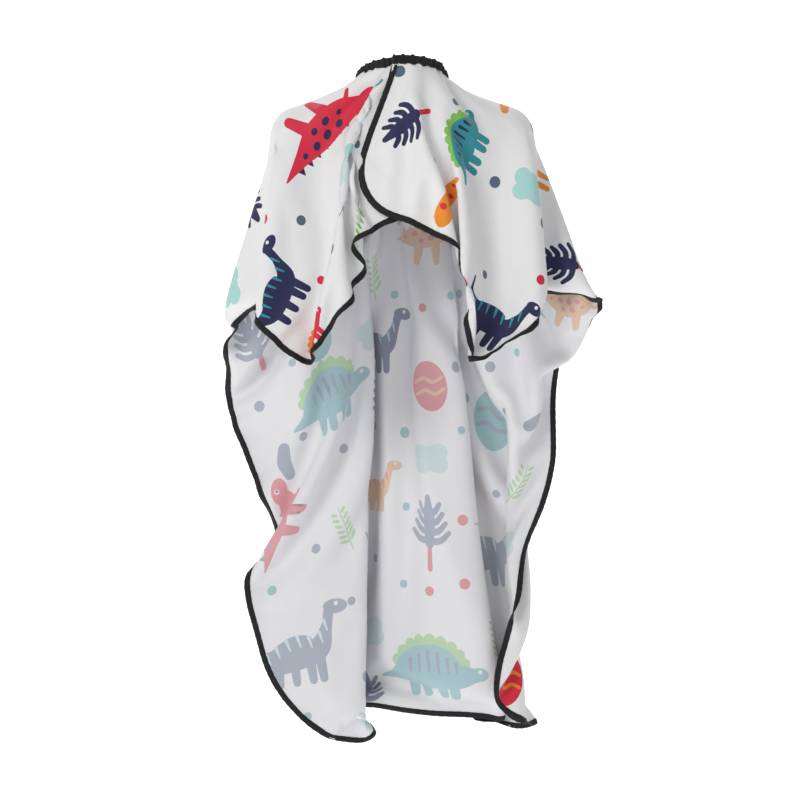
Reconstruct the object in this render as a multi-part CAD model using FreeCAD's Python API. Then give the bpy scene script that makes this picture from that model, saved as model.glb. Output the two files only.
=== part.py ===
"""Child's barber cape, draped as worn: neckband, front panel, shoulder drapes, two back wings and bindings.

Millimetres. The origin is the centre of the neck opening. The wearer faces +Y, so the nape closure is
at -Y, the wearer's left is at -X as seen from behind, and +Z is up.
The cloth is a net of points per panel, skinned by a smooth surface and given the cloth's thickness.
"""
import FreeCAD
import Part
import math
import os

V = FreeCAD.Vector

# --- Driving dimensions -------------------------------------------------------------------------
CLOTH_T = 1.2            # modelled thickness of a cloth panel
BINDING_T = 2.4          # bias tape folded over the cloth's edge
BINDING_W = 8.0          # width of the bias tape that shows
PANEL_GAP = 0.6          # gap between neighbouring cloth panels and strips
SEW = 0.001              # faces of a panel closer than this are joined
DEGREE = 2               # of the cloth's surfaces

NECK_R = 60.0            # inner radius of the neckband
NECK_TILT = 16.0         # the neckband's plane is higher at the nape, by this angle in degrees
BAND_H = 12.0            # height of the neckband casing
BAND_T = 4.0             # thickness of the casing with the elastic in it
ELASTIC_H = 8.0
ELASTIC_T = 1.2
CASING_SLACK = 0.4       # room between the elastic and the casing all round
END_WALL = 2.0           # closed end of a casing, in degrees of the ring

HINGE_DEG = 50.0         # where a wing's fold line meets the neckband, from the nape
END_DEG = 12.0           # how far each free end of the neckband passes the nape's centre
TAPE_T = 1.0             # hook tape and loop tape, each
TAPE_H = 10.0
TAPE_DEG = (-9.0, 9.0)   # reach of the closure tapes round the neckband

# Fold lines of the wings: straight, from beside the neckband to the flap's corner
FOLD_TOP = (49.0, -48.0, 8.0)
FOLD_BOTTOM = {"right": (96.0, -106.0, -394.0), "left": (-122.0, -106.0, -404.0)}
FOLD_GAP = 2.0           # each panel's edge stays this far to its side of the fold line
FOLD_DEPTH = 2.5         # and this far in front of it, so that it turns clear of its neighbour
BAND_GAP = 2.0           # the cloth's gathered edge lies this far under the casing
SEAM_GAP = 2.0           # front panel to shoulder drape
OUTER_LIFT = 9.5         # how far the outer wing's free edge stands out from its fold line
INNER_SINK = 10.0        # how far the inner wing's free edge tucks in under the outer wing
CROWN = 10.0             # the upper back's roundness between the fold lines
CROWN_DEPTH = 200.0      # height over which that roundness fades


def add_node(name, shape):
    """Write one named piece."""
    if not shape.isValid() or shape.Volume <= 0:
        raise RuntimeError(f"{name}: solid isn't valid")
    shape.exportStep(f"parts/{name}.step")
    print(f"{name:28s} {shape.Volume / 1000:9.2f} cm3  solids {len(shape.Solids)}")


# --- Neckband -----------------------------------------------------------------------------------
TILT = math.radians(NECK_TILT)
TO_NAPE = V(0, -math.cos(TILT), math.sin(TILT))
BAND_AXIS = V(0, math.sin(TILT), math.cos(TILT))


def on_ring(deg, radius, height=0.0):
    """A point of the neckband: deg is measured from the nape towards +X."""
    a = math.radians(deg)
    return V(1, 0, 0) * (radius * math.sin(a)) + TO_NAPE * (radius * math.cos(a)) + BAND_AXIS * height


def ring_piece(start, end, r_in, r_out, height):
    """A length of ring of rectangular section, from start to end degrees."""
    corners = [on_ring(start, r, h) for r, h in (
        (r_in, -height / 2), (r_out, -height / 2), (r_out, height / 2), (r_in, height / 2))]
    face = Part.Face(Part.makePolygon(corners + corners[:1]))
    # the ring's angle turns from the nape towards +X, which is the right-hand way about its axis
    return face.revolve(V(0, 0, 0), BAND_AXIS, end - start)


def casing_and_elastic(start, end, radius):
    """A closed fabric tube round the neck, and the elastic tape inside it."""
    r_out = radius + BAND_T
    middle = (radius + r_out) / 2
    slack = CASING_SLACK
    wall_in = middle - ELASTIC_T / 2
    wall_out = middle + ELASTIC_T / 2
    outer = ring_piece(start, end, radius, r_out, BAND_H)
    hollow = ring_piece(start + END_WALL, end - END_WALL, wall_in - slack, wall_out + slack,
                        ELASTIC_H + 2 * slack)
    elastic = ring_piece(start + END_WALL + 0.5, end - END_WALL - 0.5, wall_in, wall_out, ELASTIC_H)
    return outer.cut(hollow), elastic


# --- Cloth --------------------------------------------------------------------------------------
def normals_of(net):
    """A unit normal at each point of a net, from its neighbours."""
    rows, cols = len(net), len(net[0])
    out = []
    for i in range(rows):
        line = []
        for j in range(cols):
            down = net[min(i + 1, rows - 1)][j] - net[max(i - 1, 0)][j]
            across = net[i][min(j + 1, cols - 1)] - net[i][max(j - 1, 0)]
            line.append(across.cross(down).normalize())
        out.append(line)
    return out


def knots_for(count):
    """Knots and their multiplicities for a clamped curve of that many control points."""
    inner = count - DEGREE - 1
    return [float(k) for k in range(inner + 2)], [DEGREE + 1] + [1] * inner + [DEGREE + 1]


def skin(net):
    """The smooth surface that a net of control points (rows of columns) draws. Its sides end on the net's."""
    u_knots, u_mults = knots_for(len(net))
    v_knots, v_mults = knots_for(len(net[0]))
    surface = Part.BSplineSurface()
    surface.buildFromPolesMultsKnots(net, u_mults, v_mults, u_knots, v_knots, False, False, DEGREE, DEGREE)
    return surface


def thick(net, thickness):
    """A closed solid that lies on both sides of the surface of a net."""
    normals = normals_of(net)
    faces = [skin([[p + n * (side * thickness) for p, n in zip(row, line)]
                   for row, line in zip(net, normals)]).toShape() for side in (-0.5, 0.5)]
    walls = Part.makeLoft([f.OuterWire for f in faces], False, True)
    shell = Part.makeCompound(faces + walls.Faces)
    shell.sewShape(SEW)
    solid = Part.makeSolid(shell.Shells[0])
    if solid.Volume < 0:
        solid.reverse()
    return solid


def strip_along(net, side, first=0.0, last=1.0, count=24):
    """The net of a binding that lies beyond one side of a panel: left, right or bottom."""
    surface = skin(net)
    u0, u1, v0, v1 = surface.bounds()
    step = 0.02
    edge, inner = [], []
    for k in range(count):
        t = first + (last - first) * k / (count - 1)
        if side == "bottom":
            edge.append(surface.value(u1, v0 + (v1 - v0) * t))
            inner.append(surface.value(u1 - step * (u1 - u0), v0 + (v1 - v0) * t))
        else:
            v, into = (v0, step) if side == "left" else (v1, -step)
            edge.append(surface.value(u0 + (u1 - u0) * t, v))
            inner.append(surface.value(u0 + (u1 - u0) * t, v + into * (v1 - v0)))
    rows = []
    for k, p in enumerate(edge):
        along = (edge[min(k + 1, count - 1)] - edge[max(k - 1, 0)]).normalize()
        out = p - inner[k]
        out = (out - along * out.dot(along)).normalize()
        rows.append([p + out * (PANEL_GAP + BINDING_W * s) for s in (0.0, 0.5, 1.0)])
    return rows


def between(a, b, t):
    return a + (b - a) * t


# --- Wings --------------------------------------------------------------------------------------
# Free edge of each wing, from the neckband round the slit's rounded corner to the flap's corner: (x, z)
FREE_EDGE = {
    "right": [(-11, 8), (-26, -26), (-49, -80), (-56, -120), (-48, -155), (-24, -184), (24, -226),
              (55, -262), (76, -330), (80, -372)],
    "left": [(13, 8), (13, -30), (14, -75), (15, -120), (15, -160), (12, -205), (-26, -243),
             (-50, -300), (-78, -350), (-102, -380)],
}
WING_COLS = 4
WING_EDGE_START = 0.012   # where a wing's binding starts, as a share of the way down its free edge


def fold_point(side, z):
    """The point of a wing's fold line at a height."""
    top = V(*FOLD_TOP)
    if side == "left":
        top.x = -top.x
    bottom = V(*FOLD_BOTTOM[side])
    return between(top, bottom, (top.z - z) / (top.z - bottom.z))


def wing_net(side, hem):
    """Rows from the neckband down, columns from the free edge, less a hem, to the fold line."""
    sign = 1 if side == "right" else -1
    edge = FREE_EDGE[side]
    net = []
    for k, (x, z) in enumerate(edge):
        fold_z = between(V(0, 0, FOLD_TOP[2] - 4), V(0, 0, FOLD_BOTTOM[side][2] + 2), k / (len(edge) - 1)).z
        fold = fold_point(side, fold_z)
        row = []
        fold_x = fold.x - sign * FOLD_GAP
        width = math.hypot(fold_x - x, fold_z - z)
        for j in range(WING_COLS):
            s = (1 - hem / width) * (1 - j / (WING_COLS - 1))
            px = fold_x + (x - fold_x) * s
            pz = fold_z + (z - fold_z) * s
            fade = max(0.0, 1 + pz / CROWN_DEPTH)
            lift = (OUTER_LIFT if side == "right" else -INNER_SINK) * s
            py = fold_point(side, pz).y + FOLD_DEPTH - CROWN * fade * s - lift
            row.append(V(px, py, pz))
        net.append(row)
    # the top row sits just under the neckband, except at the fold line
    ends = {"right": 1 - END_DEG, "left": END_DEG - 1}[side]
    radius = NECK_R + BAND_T / 2 + (BAND_T + 2 * TAPE_T + 0.5 if side == "right" else 0)
    ends += sign * math.degrees(hem / radius)
    for j in range(WING_COLS - 1):
        s = j / (WING_COLS - 1)
        deg = ends + (sign * (HINGE_DEG - 2) - ends) * s
        r = radius + (NECK_R + BAND_T / 2 - radius) * s ** 3
        net[0][j] = on_ring(deg, r, -BAND_H / 2 - BAND_GAP)
    return net


# --- Shoulders ----------------------------------------------------------------------------------
# Rows from the neckband to the hem, columns from the fold line, over the shoulder, to the front.
# The first column follows the fold line, so only its heights are given.
SHOULDER_FOLD_Z = [-4, -34, -110, -225, -320, -390]
SHOULDER_ROWS = {
    "right": [
        [(108, -48, -26), (114, 0, -26), (104, 46, -40), (76, 70, -60)],
        [(146, -70, -84), (184, 0, -54), (158, 62, -84), (115, 90, -130)],
        [(170, -84, -190), (230, -4, -146), (206, 68, -175), (160, 100, -220)],
        [(182, -90, -280), (264, -8, -240), (244, 64, -262), (195, 100, -310)],
        [(190, -92, -334), (292, -8, -300), (268, 60, -334), (222, 92, -382)],
    ],
    "left": [
        [(-108, -48, -26), (-114, 0, -26), (-104, 46, -40), (-76, 70, -60)],
        [(-148, -70, -84), (-180, 0, -54), (-156, 62, -84), (-115, 90, -130)],
        [(-176, -84, -190), (-214, -4, -146), (-198, 68, -178), (-160, 100, -220)],
        [(-192, -90, -282), (-238, -8, -248), (-232, 60, -280), (-200, 98, -322)],
        [(-199, -92, -344), (-256, -8, -320), (-256, 50, -360), (-246, 86, -404)],
    ],
}
SHOULDER_RING_DEG = [72, 95, 118, 138]


def shoulder_net(side):
    sign = 1 if side == "right" else -1
    rows = [[on_ring(sign * d, NECK_R + BAND_T / 2, -BAND_H / 2 - BAND_GAP) for d in SHOULDER_RING_DEG]]
    rows += [[V(*p) for p in row] for row in SHOULDER_ROWS[side]]
    folds = [fold_point(side, z) + V(sign * FOLD_GAP, FOLD_DEPTH, 0) for z in SHOULDER_FOLD_Z]
    return [[fold] + row for fold, row in zip(folds, rows)]


# --- Front panel --------------------------------------------------------------------------------
FRONT_COLS = 13
# rows below the elbows: centre y, centre z, left edge (x, y, z), right edge (x, y, z), pleat depth
FRONT_LOWER = [
    (116, -470, (-240, 84, -500), (213, 88, -480), 10),
    (118, -610, (-222, 86, -640), (190, 90, -610), 20),
    (120, -760, (-216, 88, -760), (150, 92, -750), 26),
    (120, -845, (-196, 92, -826), (132, 96, -840), 28),
    (120, -898, (-160, 96, -880), (168, 98, -896), 28),
]
# and above them: y and z of each row's middle
FRONT_UPPER_MID = [(61, -24), (92, -56), (108, -126), (114, -215), (116, -305), (116, -388)]
UPPER_PLEATS = [0, 0, 1, 3, 5, 7]
PLEATS = 3.0             # pleats across the front panel
HEM_DIP = 24.0           # how much lower the hem is on the left half
SIDE_START = 0.56        # where the side edges come free, as a share of the way down the front


def front_net():
    """Rows from the neckband to the hem, columns from the left edge to the right."""
    left = [row[-1] for row in shoulder_net("left")]
    right = [row[-1] for row in shoulder_net("right")]
    rows = []
    for k, (y, z) in enumerate(FRONT_UPPER_MID):
        rows.append((y, z, left[k], right[k], UPPER_PLEATS[k]))
    for y, z, a, b, depth in FRONT_LOWER:
        rows.append((y, z, V(*a), V(*b), depth))
    net = []
    for k, (y_mid, z_mid, a, b, depth) in enumerate(rows):
        line = []
        for j in range(FRONT_COLS):
            s = j / (FRONT_COLS - 1)
            chord = between(a, b, s)
            bow = 4 * s * (1 - s)
            y_chord = (a.y + b.y) / 2
            z_chord = (a.z + b.z) / 2
            y = chord.y + (y_mid - y_chord) * min(1.0, bow * 1.4)
            z = chord.z + (z_mid - z_chord) * bow
            y += depth * math.sin(2 * math.pi * PLEATS * s) * min(1.0, bow * 2)
            if k == len(rows) - 1:
                z -= HEM_DIP * math.sin(math.pi * min(1.0, s * 2))
            line.append(V(chord.x, y, z))
        if k == 0:
            line = [on_ring(-138 - 84 * j / (FRONT_COLS - 1), NECK_R + BAND_T / 2, -BAND_H / 2 - BAND_GAP)
                    for j in range(FRONT_COLS)]
        net.append(line)
    return net


def inset(net, left=0.0, right=0.0, bottom=0.0):
    """The same net drawn in from some of its sides, which leaves room for a strip or a gap there."""
    rows = [list(r) for r in net]
    for row in rows:
        if left:
            row[0] = row[0] + (row[1] - row[0]).normalize() * left
        if right:
            row[-1] = row[-1] + (row[-2] - row[-1]).normalize() * right
    if bottom:
        rows[-1] = [p + (q - p).normalize() * bottom for p, q in zip(rows[-1], rows[-2])]
    return rows


# --- Build --------------------------------------------------------------------------------------
def build_neckband():
    front_casing, front_elastic = casing_and_elastic(HINGE_DEG + 0.8, 360 - HINGE_DEG - 0.8, NECK_R)
    add_node("neckband_casing_front", front_casing)
    add_node("neckband_elastic_front", front_elastic)
    # the inner end lies on the neck; the outer end passes over it with the closure tapes between
    inner_r = NECK_R
    outer_r = NECK_R + BAND_T + 2 * TAPE_T + 0.5
    casing, elastic = casing_and_elastic(-HINGE_DEG + 0.8, END_DEG, inner_r)
    add_node("neckband_casing_left_end", casing)
    add_node("neckband_elastic_left_end", elastic)
    casing, elastic = casing_and_elastic(-END_DEG, HINGE_DEG - 0.8, outer_r)
    add_node("neckband_casing_right_end", casing)
    add_node("neckband_elastic_right_end", elastic)
    loop_r = NECK_R + BAND_T
    add_node("closure_loop_tape", ring_piece(*TAPE_DEG, loop_r, loop_r + TAPE_T, TAPE_H))
    add_node("closure_hook_tape", ring_piece(*TAPE_DEG, outer_r - TAPE_T, outer_r, TAPE_H))


def build_wing(side):
    panel = wing_net(side, BINDING_W)
    add_node(f"cloth_wing_{side}", thick(panel, CLOTH_T))
    add_node(f"binding_wing_{side}", thick(strip_along(panel, "left", WING_EDGE_START), BINDING_T))


def build_shoulder(side):
    panel = inset(shoulder_net(side), bottom=BINDING_W, right=SEAM_GAP)
    add_node(f"cloth_shoulder_{side}", thick(panel, CLOTH_T))
    add_node(f"binding_shoulder_{side}", thick(strip_along(panel, "bottom"), BINDING_T))


def build_front():
    net = front_net()
    upper = len(FRONT_UPPER_MID)
    seam = inset(net[:upper], left=SEAM_GAP, right=SEAM_GAP)
    free = inset(net[upper:], left=BINDING_W, right=BINDING_W, bottom=BINDING_W)
    panel = seam + free
    add_node("cloth_front", thick(panel, CLOTH_T))
    add_node("binding_hem", thick(strip_along(panel, "bottom", 0.01, 0.99), BINDING_T))
    for side in ("left", "right"):
        add_node(f"binding_side_{side}", thick(strip_along(panel, side, SIDE_START, 1.0), BINDING_T))


def main():
    os.makedirs("parts", exist_ok=True)
    build_neckband()
    for side in ("left", "right"):
        build_wing(side)
        build_shoulder(side)
    build_front()


main()
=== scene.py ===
import math

import bpy
import numpy as np
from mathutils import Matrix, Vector
from mathutils.bvhtree import BVHTree
from mathutils.geometry import delaunay_2d_cdt
from mathutils.kdtree import KDTree


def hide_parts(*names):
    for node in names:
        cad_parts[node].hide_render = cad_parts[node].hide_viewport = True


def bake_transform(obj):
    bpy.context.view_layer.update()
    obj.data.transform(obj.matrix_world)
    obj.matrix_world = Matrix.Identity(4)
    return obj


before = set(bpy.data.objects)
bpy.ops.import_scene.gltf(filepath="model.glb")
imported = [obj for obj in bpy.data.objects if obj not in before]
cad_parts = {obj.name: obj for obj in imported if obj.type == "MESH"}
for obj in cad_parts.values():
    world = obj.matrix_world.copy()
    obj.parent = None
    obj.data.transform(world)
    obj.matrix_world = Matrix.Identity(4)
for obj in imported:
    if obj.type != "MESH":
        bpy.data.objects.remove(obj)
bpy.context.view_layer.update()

MM = 0.001
rng = np.random.default_rng(11)

# --- The cut, in metres: u across, v from the back edge to the hem, the neck's centre at 0, 0 ---
H = 0.0125              # spacing of the simulated cloth
HALF_W = 0.425
BACK = 0.2750           # neck's centre to the back edge
FRONT = 0.9625          # neck's centre to the hem
HEM_R = 0.200           # rounded bottom corners
HOLE_R = 0.070          # neck hole before it is gathered
SLIT_R = 0.070          # rounded corners where the back slit opens
BACK_R = 0.060          # rounded outer back corners
CLOTH_T = 0.0005        # its thickness
# lengths along the outline from the middle of an outer back corner
QUARTER = BACK_R * math.pi / 4  # to the end of that corner
SIDE = QUARTER + FRONT - HEM_R + BACK - BACK_R  # to the start of the hem's corner
ARC = HEM_R * math.pi / 2
EDGE = SIDE + ARC + HALF_W - HEM_R  # to the middle of the hem
WING = (BACK - SLIT_R - HOLE_R) + SLIT_R * math.pi / 2 + HALF_W - SLIT_R - BACK_R + QUARTER  # to the neck

# --- The neckband, in metres and degrees ---
NECK_R = 0.062          # to the neckband's middle
TILT = math.radians(16)  # it is higher at the nape than in front
TO_NAPE = np.array([0, -math.cos(TILT), math.sin(TILT)])
AXIS = np.array([0, math.sin(TILT), math.cos(TILT)])
LAP_DEG = 11            # each end passes the nape by this much
LAP_OUT = 0.0065        # and the right one stands out by this much there
LAP_HELD = 46           # as far round as this, and then
LAP_FADE = 22           # comes back in over this much
SEWN_IN = 0.0036        # the cloth's edge ends this far below the neckband's middle, inside it


def ring_point(deg, radius, height):
    """A point round the neck: degrees from the nape, to the right if positive."""
    a = math.radians(deg)
    return np.array([1, 0, 0]) * radius * math.sin(a) + TO_NAPE * radius * math.cos(a) + AXIS * height


def let_out(deg, s):
    """How far the right half's neck edge stands out to pass over the left half's, from 0 to 1."""
    if s < 0:
        return 0.0
    t = 1 - min(1.0, max(0.0, (abs(deg) - LAP_HELD) / LAP_FADE))
    return t * t * (3 - 2 * t)


def outline(s, side):
    """The point of the cut's outline s metres from its outer back corner, and the way into the cloth."""
    s = max(s, -WING)
    if abs(s) <= QUARTER:
        a = -math.pi / 4 + s / BACK_R
        n = (-math.cos(a), -math.sin(a))
        p = (HALF_W - BACK_R - BACK_R * n[0], BACK_R - BACK - BACK_R * n[1])
    elif s < 0:
        back = HALF_W - SLIT_R - BACK_R + QUARTER
        if -s <= back:
            p, n = (HALF_W - BACK_R + QUARTER + s, -BACK), (0, 1)
        elif -s <= back + SLIT_R * math.pi / 2:
            a = (-s - back) / SLIT_R
            n = (math.sin(a), math.cos(a))
            p = (SLIT_R - SLIT_R * n[0], -BACK + SLIT_R - SLIT_R * n[1])
        else:
            p, n = (0.0, -BACK + SLIT_R + (-s - back - SLIT_R * math.pi / 2)), (1, 0)
    elif s <= SIDE:
        p, n = (HALF_W, BACK_R - BACK + s - QUARTER), (-1, 0)
    elif s <= SIDE + ARC:
        a = (s - SIDE) / HEM_R
        n = (-math.cos(a), -math.sin(a))
        p = (HALF_W - HEM_R - HEM_R * n[0], FRONT - HEM_R - HEM_R * n[1])
    else:
        p, n = (HALF_W - HEM_R - (s - SIDE - ARC), FRONT), (0, -1)
    return np.array([side * p[0], p[1]]), np.array([side * n[0], n[1]])


def snap(u, v):
    """A grid point moved to the outline if it lies close to it, and whether it is cloth at all."""
    r = math.hypot(u, v)
    if abs(r - HOLE_R) < 0.5 * H:
        return u * HOLE_R / r, v * HOLE_R / r, True
    if r < HOLE_R:
        return u, v, False
    for cu, cv, rad, corner in (
            (HALF_W - HEM_R, FRONT - HEM_R, HEM_R, v > FRONT - HEM_R and abs(u) > HALF_W - HEM_R),
            (SLIT_R, SLIT_R - BACK, SLIT_R, v < SLIT_R - BACK and abs(u) < SLIT_R),
            (HALF_W - BACK_R, BACK_R - BACK, BACK_R, v < BACK_R - BACK and abs(u) > HALF_W - BACK_R)):
        if corner:
            if u == 0:
                return u, v, False
            cu = math.copysign(cu, u)
            d = math.hypot(u - cu, v - cv)
            if abs(d - rad) < 0.5 * H:
                return cu + (u - cu) * rad / d, cv + (v - cv) * rad / d, True
            return u, v, d < rad
    return u, v, True


def flat_cloth():
    """Points of the cut, the side each belongs to, its faces and its triangles."""
    nu, nv = round(2 * HALF_W / H), round((BACK + FRONT) / H)
    index, pts, side = {}, [], []
    for j in range(nv + 1):
        for i in range(nu + 1):
            u0, v0 = -HALF_W + i * H, -BACK + j * H
            if abs(u0) < 1e-9:
                u0 = 0.0
            u, v, cloth = snap(u0, v0)
            if not cloth:
                continue
            for s in (-1, 1) if (u0 == 0 and v0 < 0) else (0,):
                index[i, j, s] = len(pts)
                pts.append((u, v))
                side.append(s or np.sign(round(u, 6)))
    faces, tris = [], []
    for j in range(nv):
        for i in range(nu):
            s = 1 if (i + 0.5) * H > HALF_W else -1
            c = [index.get((a, b, 0), index.get((a, b, s)))
                 for a, b in ((i, j), (i + 1, j), (i + 1, j + 1), (i, j + 1))]
            c = [k for k in c if k is not None]
            if len(c) == 4:
                faces.append(c)
                tris += ([(c[0], c[1], c[2]), (c[0], c[2], c[3])] if (i + j) % 2
                         else [(c[0], c[1], c[3]), (c[1], c[2], c[3])])
            elif len(c) == 3:
                faces.append(c)
                tris.append(tuple(c))
    return np.array(pts), np.array(side), faces, np.array(tris)


# --- How it hangs: places along the edge and along some folds, in millimetres ---
RIGHT_EDGE = [
    (-592, -11, -62, 6), (-550, -26, -68, -26), (-490, -49, -76, -80), (-448, -56, -80, -120),
    (-408, -48, -84, -155), (-362, -24, -88, -184), (-298, 24, -94, -226), (-250, 55, -97, -262),
    (-212, 70, -96, -297), (-190, 86, -92, -314), (-150, 118, -82, -330), (-105, 88, -102, -318),
    (-60, 90, -104, -355), (0, 95, -104, -399),
    (113, 188, -92, -338), (165, 186, -66, -297), (277, 125, -45, -285), (357, 205, -30, -294),
    (455, 283, -8, -303), (527, 262, 50, -334), (597, 222, 88, -382), (627, 220, 96, -410),
    (667, 214, 100, -449), (725, 216, 100, -504), (775, 210, 100, -552), (837, 193, 98, -609),
    (892, 172, 94, -657), (927, 167, 88, -690), (989, 154, 76, -748), (1037, 144, 70, -792),
    (1089, 127, 66, -836), (1123, 128, 66, -867), (1147, 143, 70, -885), (1189, 178, 82, -902),
    (1242, 184, 118, -904), (1307, 130, 128, -894), (1347, 95, 127, -888), (1402, 148, 120, -892),
    (1487, 70, 117, -887), (1565, -7, 116, -881)]
LEFT_EDGE = [
    (-592, 13, -56, 6), (-566, 13, -58, -30), (-513, 14, -64, -75), (-460, 15, -68, -120),
    (-411, 15, -72, -160), (-358, 12, -78, -205), (-289, -26, -85, -243), (-214, -50, -92, -300),
    (-128, -78, -98, -350), (-64, -102, -101, -380), (0, -129, -104, -410),
    (33, -159, -100, -400), (70, -188, -94, -378), (110, -203, -84, -343), (145, -187, -74, -316),
    (277, -110, -48, -296), (372, -184, -30, -303), (422, -215, -8, -324), (457, -233, 14, -340),
    (502, -245, 40, -370), (532, -243, 52, -395), (557, -246, 60, -415), (617, -252, 70, -468),
    (682, -235, 78, -529), (725, -219, 84, -563), (773, -209, 90, -604), (837, -190, 102, -660),
    (917, -226, 92, -711), (955, -226, 90, -747), (982, -219, 88, -770), (1027, -202, 86, -809),
    (1069, -186, 84, -846), (1109, -166, 82, -877), (1145, -142, 80, -900), (1177, -119, 80, -915),
    (1207, -93, 80, -922), (1235, -68, 82, -922), (1262, -44, 84, -916), (1279, -35, 90, -906),
    (1347, -95, 106, -896), (1409, -125, 114, -874), (1477, -90, 118, -874), (1542, -33, 119, -873),
    (1565, -7, 116, -881)]
FOLDS = [
    # front centre
    ([(0, 70), (0, 150), (0, 260), (0, 500), (0, 962)],
     [(0, 58, -17), (0, 100, -62), (0, 112, -170), (0, 116, -415), (-7, 120, -875)]),
    # over each shoulder to the elbow
    ([(70, 10), (150, 50), (196, 77), (290, 126), (425, 181)],
     [(62, 5, -6), (137, -6, -39), (176, -8, -65), (221, -10, -168), (283, -8, -303)]),
    ([(-70, 20), (-150, 70), (-190, 95), (-290, 152), (-425, 228)],
     [(-62, 8, -6), (-143, -6, -28), (-180, -8, -52), (-213, -5, -182), (-245, 40, -370)]),
    # outer fold of each wing
    ([(60, -22), (190, -35), (300, -60), (425, -162)],
     [(54, -40, -2), (165, -58, -60), (195, -84, -160), (188, -92, -338)]),
    ([(-60, -22), (-190, -35), (-300, -55), (-425, -162)],
     [(-54, -40, -2), (-160, -58, -40), (-200, -80, -150), (-203, -84, -343)]),
    # nape to the corner of each wing
    ([(40, -58), (165, -138), (290, -208), (425, -275)],
     [(35, -56, 2), (62, -76, -110), (84, -94, -240), (92, -104, -395)]),
    ([(-40, -58), (-165, -138), (-290, -208), (-425, -275)],
     [(-35, -56, 2), (-70, -76, -110), (-100, -92, -240), (-129, -104, -410)]),
    # pleats of the front: near edge, far edge and return, right and then left
    ([(105, 230), (120, 400), (150, 650), (174, 962)],
     [(98, 112, -180), (104, 116, -400), (125, 118, -640), (148, 124, -886)]),
    ([(150, 230), (175, 400), (205, 650), (229, 962)],
     [(72, 120, -200), (58, 124, -400), (75, 126, -640), (95, 127, -882)]),
    ([(280, 230), (300, 400), (320, 650), (329, 933)],
     [(178, 96, -200), (188, 118, -400), (180, 122, -640), (184, 124, -898)]),
    ([(-35, 230), (-40, 430), (-40, 700), (-27, 962)],
     [(-34, 112, -200), (-36, 116, -380), (-34, 124, -640), (-33, 126, -866)]),
    ([(-90, 230), (-120, 430), (-150, 700), (-167, 962)],
     [(-85, 118, -200), (-105, 120, -400), (-120, 118, -640), (-125, 114, -868)]),
    ([(-140, 230), (-200, 430), (-260, 700), (-296, 949)],
     [(-55, 112, -200), (-50, 108, -400), (-42, 98, -640), (-35, 90, -906)]),
    # the turned corner's fold
    ([(410, 640), (392, 760), (362, 840), (338, 880)],
     [(157, 92, -700), (160, 92, -770), (168, 94, -840), (176, 94, -898)]),
    # deep folds between wing and sleeve
    ([(425, 2), (310, 30), (200, 15)], [(125, -45, -285), (150, -46, -165), (170, -38, -62)]),
    ([(-425, 2), (-310, 45), (-200, 25)], [(-110, -48, -296), (-148, -45, -165), (-168, -34, -52)]),
]
# stretches of the edge that lie flat as seen from behind: side, from, to, and which way the cloth lies
FLAT_EDGES = [
    (1, -592, -190, 1), (1, -100, -20, 1), (1, 597, 937, -1), (1, 987, 1187, 1), (1, 1237, 1565, 0),
    (-1, -592, -20, -1), (-1, 537, 817, 1), (-1, 887, 1272, 1), (-1, 1287, 1565, 0),
]
FLAT_REACH = 0.030      # how far in from the edge it is held flat
EDGE_PULL = 0.03        # how firmly the edge is led to its place, per step
WING_PULL = 0.07        # and the wings' edges
FLAT_PULL = 0.6 * EDGE_PULL  # and the cloth that is held flat
FOLD_PULL = 0.004       # and the folds
OUTLINE_STEP = 0.004    # spacing of the places tried along the edge
AHEAD = 0.01            # the edge's direction is taken between this far back and this far on
# stretches of the edge that the bias tape stiffens, which leave out the pleats, for each side
STIFF = {1: ((-WING, -0.19), (-0.10, -0.02), (0.467, 1.157)), -1: ((-WING, -0.02), (0.467, 1.157))}
EYE_X, EYE_BACK, EYE_Z = -3, 3000, -448  # where the camera stands, in millimetres


def hung(p):
    """Places are given in the plane through the neck, as the camera sees them; this adds their depth."""
    k = (EYE_BACK + p[1]) / EYE_BACK
    return np.array([EYE_X + (p[0] - EYE_X) * k, p[1], EYE_Z + (p[2] - EYE_Z) * k]) * MM


def along(t, at, rows):
    """The point at t of a line through rows, which lie at the lengths in at."""
    return np.array([np.interp(t, at, column) for column in rows.T])


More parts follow.
